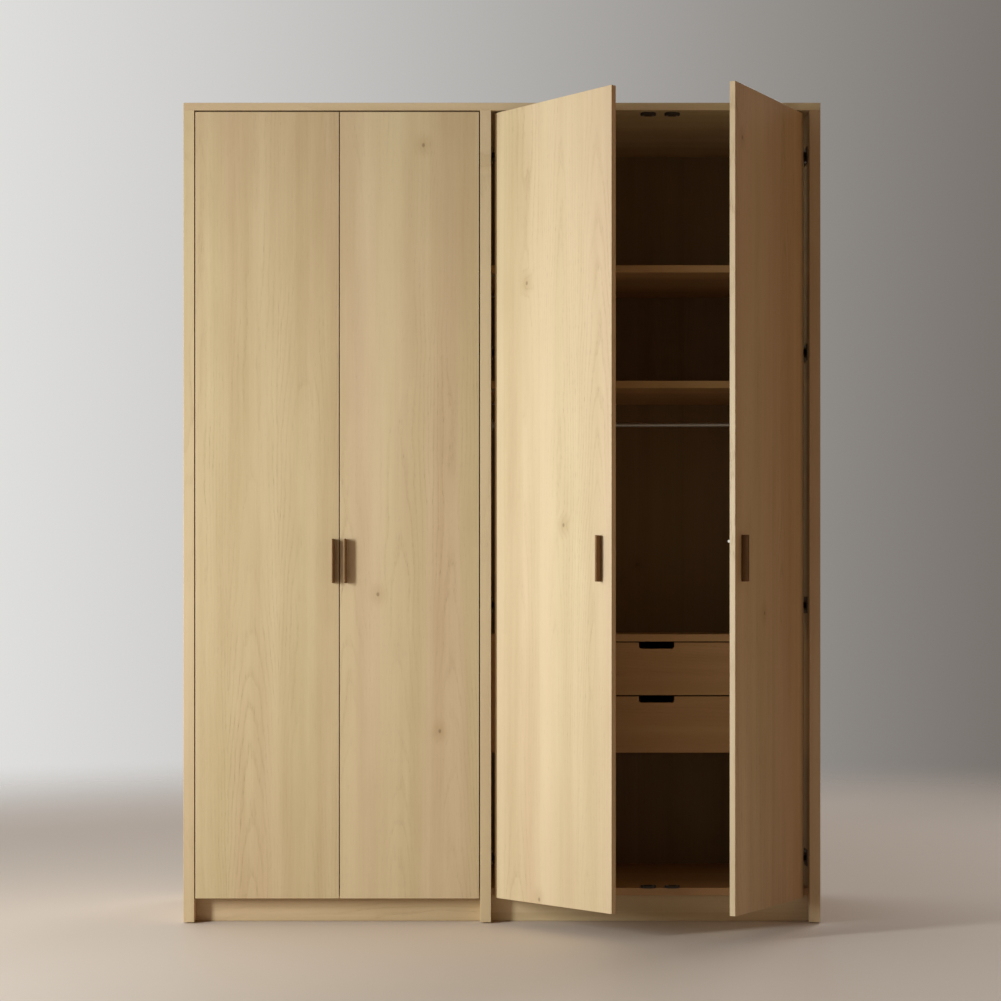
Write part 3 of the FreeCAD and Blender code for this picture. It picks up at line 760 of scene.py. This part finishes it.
def fit_sleeves():
    """Sleeved holes above and below each shelf pin, for moving the shelf; each is a plastic sleeve
    whose dark, nearly flush floor is painted shade for the depth of the hole.
    """
    sleeves = []
    for low, high in solids("shelf_pins"):
        wall = nearest_wall(low.x, high.x)
        inward = 1 if wall == low.x else -1
        y, z = (low.y + high.y) / 2, (low.z + high.z) / 2
        for step in SLEEVE_STEPS:
            height = z + step * SLEEVE_PITCH
            sleeves.append((SLEEVE, facing((wall, y, height), (inward, 0, 0), SLEEVE_RADIUS)))
    fit("pin_sleeves", "carcass", "dark_plastic", sleeves)


for leaf in LEAVES:
    fit_cups(leaf)
    fit_arms(leaf)
    fit_strikes(leaf)
    fit_pull(leaf)
fit_rail_flanges()
fit_catches()
fit_wall_brackets()
fit_sleeves()

# ---------------------------------------------------------------- floor, light and camera

FLOOR_RADIUS = 9.0
FLOOR_FADE = (2.4, 6.5)  # how far out the floor starts to fade, and where it is gone
FLOOR_DEEP = rgb(0.72, 0.62, 0.54)
FLOOR_PALE = rgb(0.79, 0.685, 0.6)


def build_floor():
    """A pale floor that fades away at a distance."""
    bm = bmesh.new()
    bmesh.ops.create_circle(bm, cap_ends=True, segments=96, radius=FLOOR_RADIUS)
    mesh = bpy.data.meshes.new("floor")
    bm.to_mesh(mesh)
    bm.free()
    floor = bpy.data.objects.new("floor", mesh)
    bpy.context.scene.collection.objects.link(floor)
    s = Surface("pale_floor", Specular_IOR_Level=0.3)
    cloud = s.noise(s.position, (1.2, 1.2, 1.2), 3)
    speck = s.noise(s.position, (160, 160, 160), 2)
    tone = s.math("ADD", s.sway(cloud, 0.5), s.math("ADD", s.sway(speck, 0.35), 0.5))
    distance = s.add("ShaderNodeVectorMath", {0: s.position}, operation="LENGTH")
    s.set(
        Base_Color=s.mix(tone, FLOOR_DEEP, FLOOR_PALE),
        Roughness=s.math("ADD", s.sway(speck, 0.15), 0.55),
        Alpha=s.remap(distance.outputs["Value"], *FLOOR_FADE, 1.0, 0.0),
    )
    mesh.materials.append(s.material)


# the backdrop behind the wardrobe, and the room in front of it, each from left to right
BEHIND_LEFT = rgb(0.9, 0.9, 0.89)
BEHIND_RIGHT = rgb(0.12, 0.1, 0.083)
FRONT_LEFT = rgb(0.66, 0.65, 0.62)
FRONT_RIGHT = rgb(0.058, 0.037, 0.024)


def build_world():
    """Soft light from all round, stronger from the left and behind."""
    world = bpy.data.worlds.new("studio")
    world.use_nodes = True
    g = Graph(world.node_tree)
    g.tree.nodes.clear()
    direction = g.split(g.add("ShaderNodeTexCoord").outputs["Generated"])
    behind = g.mix(g.remap(direction[0], -0.5, 0.4), BEHIND_LEFT, BEHIND_RIGHT)
    front = g.mix(g.remap(direction[0], -0.8, -0.1), FRONT_LEFT, FRONT_RIGHT)
    shade = g.mix(g.remap(direction[1], -0.3, 0.5), front, behind)
    background = g.add("ShaderNodeBackground", {"Color": shade, "Strength": 1.0})
    output = g.add("ShaderNodeOutputWorld")
    g.feed(output.inputs["Surface"], background.outputs[0])
    bpy.context.scene.world = world


SOFTBOX_PLACE = Vector((-3.2, -2.2, 1.3))
SOFTBOX_AIM = Vector((-0.1, 0.0, 1.05))
SOFTBOX_SIZE = (0.5, 1.5)


def build_softbox():
    """A tall soft light at the left, from which the open leaves keep most of the bay shaded."""
    data = bpy.data.lights.new("softbox", "AREA")
    data.shape = "RECTANGLE"
    data.size, data.size_y = SOFTBOX_SIZE
    data.energy = 54
    data.spread = math.radians(120)
    data.color = (0.93, 1.0, 1.0)
    softbox = bpy.data.objects.new("softbox", data)
    softbox.location = SOFTBOX_PLACE
    aim = SOFTBOX_AIM - SOFTBOX_PLACE
    softbox.rotation_euler = aim.to_track_quat("-Z", "Y").to_euler()
    bpy.context.scene.collection.objects.link(softbox)


def build_fill(name, towards, strength, spread, colour):
    """Faint light that comes from a direction, softened by its spread in degrees."""
    data = bpy.data.lights.new(name, "SUN")
    data.energy = strength
    data.angle = math.radians(spread)
    data.color = colour
    fill = bpy.data.objects.new(name, data)
    fill.rotation_euler = Vector(towards).to_track_quat("Z", "Y").to_euler()
    bpy.context.scene.collection.objects.link(fill)


LENS = 75.6
SHIFT_UP = 0.1114
CAMERA_AHEAD = 5.609  # of the front edge of the left side
EYE_HEIGHT = 0.831
CAMERA_ASIDE = -0.0037


def build_camera():
    """A level camera at the height of a seated viewer, shifted up to take in the whole height."""
    data = bpy.data.cameras.new("camera")
    data.lens = LENS
    data.shift_y = SHIFT_UP
    data.clip_end = 100
    camera = bpy.data.objects.new("camera", data)
    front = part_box("side_left")[0].y
    camera.location = (CAMERA_ASIDE, front - CAMERA_AHEAD, EYE_HEIGHT)
    camera.rotation_euler = Euler((math.radians(90), 0, 0))
    bpy.context.scene.collection.objects.link(camera)
    bpy.context.scene.camera = camera


build_floor()
build_world()
build_softbox()
build_fill("rear_fill", (0.5, 0.85, 0.55), 0.7, 25, (1.0, 0.985, 0.955))
build_fill("right_fill", (1.0, -0.45, 0.12), 0.32, 60, (1.0, 0.5, 0.2))
build_camera()
bpy.context.scene.view_settings.view_transform = "Standard"
